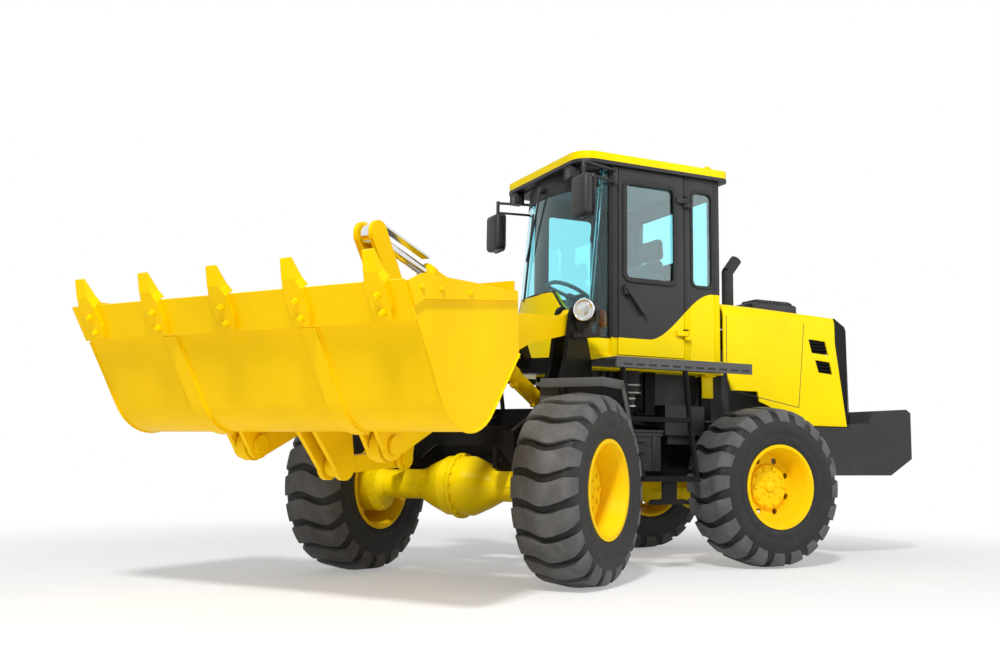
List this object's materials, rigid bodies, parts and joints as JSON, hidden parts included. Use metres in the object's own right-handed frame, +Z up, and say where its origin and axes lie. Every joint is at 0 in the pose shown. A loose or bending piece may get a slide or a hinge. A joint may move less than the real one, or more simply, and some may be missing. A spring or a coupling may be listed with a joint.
{
  "type": "wheel loader",
  "caption": "Small articulated wheel loader with a glazed cab, a toothed bucket on a lift boom, a rear engine hood and a cast counterweight.",
  "frame": {"origin": "on the ground, at the middle of the box that the machine fills in its steered rest pose", "axes": "+X forward along the rear half, +Y left, +Z up"},
  "size_m": [6.0108, 3.5612, 2.7779],
  "materials": {
    "body_yellow": "gloss",
    "loader_yellow": "gloss",
    "dark_paint": "satin",
    "black_paint": "satin",
    "grey_paint": "satin",
    "black_plastic": "matte",
    "grey_plastic": "matte",
    "glass": "clear",
    "steel": "brushed",
    "chrome": "polished",
    "tyre": "matte",
    "seat": "matte"
  },
  "bodies": {
    "rear": {"rear_frame": "dark_paint", "counterweight": "dark_paint", "engine": "grey_paint", "transmission": "loader_yellow", "rear_axle": "loader_yellow", "hood": "body_yellow", "rear_grille": "black_paint", "exhaust": "grey_paint", "air_cleaner": "black_plastic", "cab_base": "body_yellow", "cab_cowl": "body_yellow", "cab_posts": "dark_paint", "cab_panels": "body_yellow", "cab_roof": "body_yellow", "windscreen": "glass", "cab_glass": "glass", "seat": "seat", "steering_column": "grey_plastic", "running_boards": "grey_paint", "ladders": "black_paint", "under_cab_units": "black_plastic", "mirrors": "black_plastic", "roof_lamps": "black_plastic"},
    "front": {"front_frame": "dark_paint", "front_axle": "loader_yellow", "front_fenders": "grey_paint", "headlamps": "black_plastic"},
    "door_left": {"door_left": "body_yellow", "door_left_glass": "glass"},
    "door_right": {"door_right": "body_yellow", "door_right_glass": "glass"},
    "boom": {"boom": "body_yellow"},
    "bucket_pins": {"bucket_pins": "steel"},
    "bucket": {"bucket": "loader_yellow", "cutting_edge": "loader_yellow", "teeth": "loader_yellow"},
    "rocker_pin": {"rocker_pin": "steel"},
    "rocker": {"rocker": "body_yellow"},
    "bucket_link": {"bucket_link": "body_yellow"},
    "lift_barrels": {"lift_barrels": "body_yellow"},
    "lift_rods": {"lift_rods": "chrome"},
    "tilt_pin": {"tilt_pin": "steel"},
    "tilt_barrel": {"tilt_barrel": "body_yellow"},
    "tilt_rod": {"tilt_rod": "chrome"},
    "steer_barrel_left": {"steer_barrel_left": "dark_paint"},
    "steer_rod_left": {"steer_rod_left": "chrome"},
    "steer_barrel_right": {"steer_barrel_right": "dark_paint"},
    "steer_rod_right": {"steer_rod_right": "chrome"},
    "wheel_rear_left": {"tyre_rear_left": "tyre", "rim_rear_left": "loader_yellow"},
    "wheel_rear_right": {"tyre_rear_right": "tyre", "rim_rear_right": "loader_yellow"},
    "wheel_front_left": {"tyre_front_left": "tyre", "rim_front_left": "loader_yellow"},
    "wheel_front_right": {"tyre_front_right": "tyre", "rim_front_right": "loader_yellow"}
  },
  "joints": [
    {"name": "steer", "type": "hinge", "parent": "rear", "child": "front", "pos_m": [-0.17244, -0.84051, 0.79], "axis": [0, 0, 1], "range_deg": [-70, 0]},
    {"name": "boom_lift", "type": "hinge", "parent": "front", "child": "boom", "pos_m": [0.31905, -0.49636, 1.55], "axis": [0.5736, -0.8192, 0], "range_deg": [-15.6, 71.7]},
    {"name": "bucket_level", "type": "hinge", "parent": "boom", "child": "bucket_pins", "pos_m": [1.9164, 0.62211, 0.745], "axis": [0.5736, -0.8192, 0], "range_deg": [-72.2, 16.1]},
    {"name": "bucket_tilt", "type": "hinge", "parent": "bucket_pins", "child": "bucket", "pos_m": [1.9164, 0.62211, 0.745], "axis": [-0.5736, 0.8192, 0], "range_deg": [0, 103]},
    {"name": "rocker_set", "type": "hinge", "parent": "boom", "child": "rocker_pin", "pos_m": [1.24715, 0.1535, 1.276], "axis": [0.5736, -0.8192, 0], "range_deg": [-2.78, 10.97]},
    {"name": "rocker_swing", "type": "hinge", "parent": "rocker_pin", "child": "rocker", "pos_m": [1.24715, 0.1535, 1.276], "axis": [0.5736, -0.8192, 0], "range_deg": [-0.5, 15.54]},
    {"name": "link_swing", "type": "hinge", "parent": "rocker", "child": "bucket_link", "pos_m": [1.36102, 0.23323, 0.686], "axis": [0.5736, -0.8192, 0], "range_deg": [-2.56, 0.5]},
    {"name": "lift_swing", "type": "hinge", "parent": "front", "child": "lift_barrels", "pos_m": [0.1798, -0.59387, 0.9], "axis": [0.5736, -0.8192, 0], "range_deg": [-9.6, 42.3]},
    {"name": "lift_stroke", "type": "slide", "parent": "lift_barrels", "child": "lift_rods", "axis": [0.76, 0.5322, 0.373], "range_m": [-0.10859, 0.49192]},
    {"name": "tilt_set", "type": "hinge", "parent": "front", "child": "tilt_pin", "pos_m": [0.36493, -0.46424, 1.5], "axis": [0.5736, -0.8192, 0], "range_deg": [-16.86, 75.71]},
    {"name": "tilt_swing", "type": "hinge", "parent": "tilt_pin", "child": "tilt_barrel", "pos_m": [0.36493, -0.46424, 1.5], "axis": [0.5736, -0.8192, 0], "range_deg": [-0.5, 5.34]},
    {"name": "tilt_stroke", "type": "slide", "parent": "tilt_barrel", "child": "tilt_rod", "axis": [0.799, 0.5595, 0.2205], "range_m": [-0.14186, 0.002]},
    {"name": "steer_swing_left", "type": "hinge", "parent": "rear", "child": "steer_barrel_left", "pos_m": [-0.55344, -0.63951, 0.79], "axis": [0, 0, 1], "range_deg": [-21.85, 0.5]},
    {"name": "steer_stroke_left", "type": "slide", "parent": "steer_barrel_left", "child": "steer_rod_left", "axis": [0.986, 0.1669, 0], "range_m": [-0.002, 0.25899]},
    {"name": "steer_swing_right", "type": "hinge", "parent": "rear", "child": "steer_barrel_right", "pos_m": [-0.55344, -1.04151, 0.79], "axis": [0, 0, 1], "range_deg": [-24.02, 0.5]},
    {"name": "steer_stroke_right", "type": "slide", "parent": "steer_barrel_right", "child": "steer_rod_right", "axis": [0.9764, 0.2159, 0], "range_m": [-0.22756, 0.002]},
    {"name": "door_left_open", "type": "hinge", "parent": "rear", "child": "door_left", "pos_m": [-0.88144, -0.27651, 2], "axis": [0, 0, 1], "range_deg": [0, 95]},
    {"name": "door_right_open", "type": "hinge", "parent": "rear", "child": "door_right", "pos_m": [-0.88144, -1.40451, 2], "axis": [0, 0, -1], "range_deg": [0, 95]},
    {"name": "wheel_spin_rear_left", "type": "hinge", "parent": "rear", "child": "wheel_rear_left", "pos_m": [-1.36244, -0.08551, 0.53], "axis": [0, 1, 0], "continuous": true},
    {"name": "wheel_spin_rear_right", "type": "hinge", "parent": "rear", "child": "wheel_rear_right", "pos_m": [-1.36244, -1.59551, 0.53], "axis": [0, 1, 0], "continuous": true},
    {"name": "wheel_spin_front_left", "type": "hinge", "parent": "front", "child": "wheel_front_left", "pos_m": [0.3693, 0.46051, 0.53], "axis": [-0.5736, 0.8192, 0], "continuous": true},
    {"name": "wheel_spin_front_right", "type": "hinge", "parent": "front", "child": "wheel_front_right", "pos_m": [1.2354, -0.77641, 0.53], "axis": [-0.5736, 0.8192, 0], "continuous": true}
  ],
  "couplings": [
    {"joint": "bucket_level", "follows": "boom_lift", "ratio": -1},
    {"joint": "rocker_set", "follows": "boom_lift", "ratio": 0.146},
    {"joint": "rocker_swing", "follows": "bucket_tilt", "ratio": 0.146},
    {"joint": "link_swing", "follows": "bucket_tilt", "ratio": -0.02},
    {"joint": "lift_swing", "follows": "boom_lift", "ratio": 0.583},
    {"joint": "lift_stroke", "follows": "boom_lift", "m_per_rad": 0.3915},
    {"joint": "tilt_set", "follows": "boom_lift", "ratio": 1.049},
    {"joint": "tilt_swing", "follows": "bucket_tilt", "ratio": 0.047},
    {"joint": "tilt_stroke", "follows": "bucket_tilt", "m_per_rad": -0.0778},
    {"joint": "steer_swing_left", "follows": "steer", "ratio": 0.305},
    {"joint": "steer_stroke_left", "follows": "steer", "m_per_rad": -0.21035},
    {"joint": "steer_swing_right", "follows": "steer", "ratio": 0.336},
    {"joint": "steer_stroke_right", "follows": "steer", "m_per_rad": 0.18463}
  ]
}
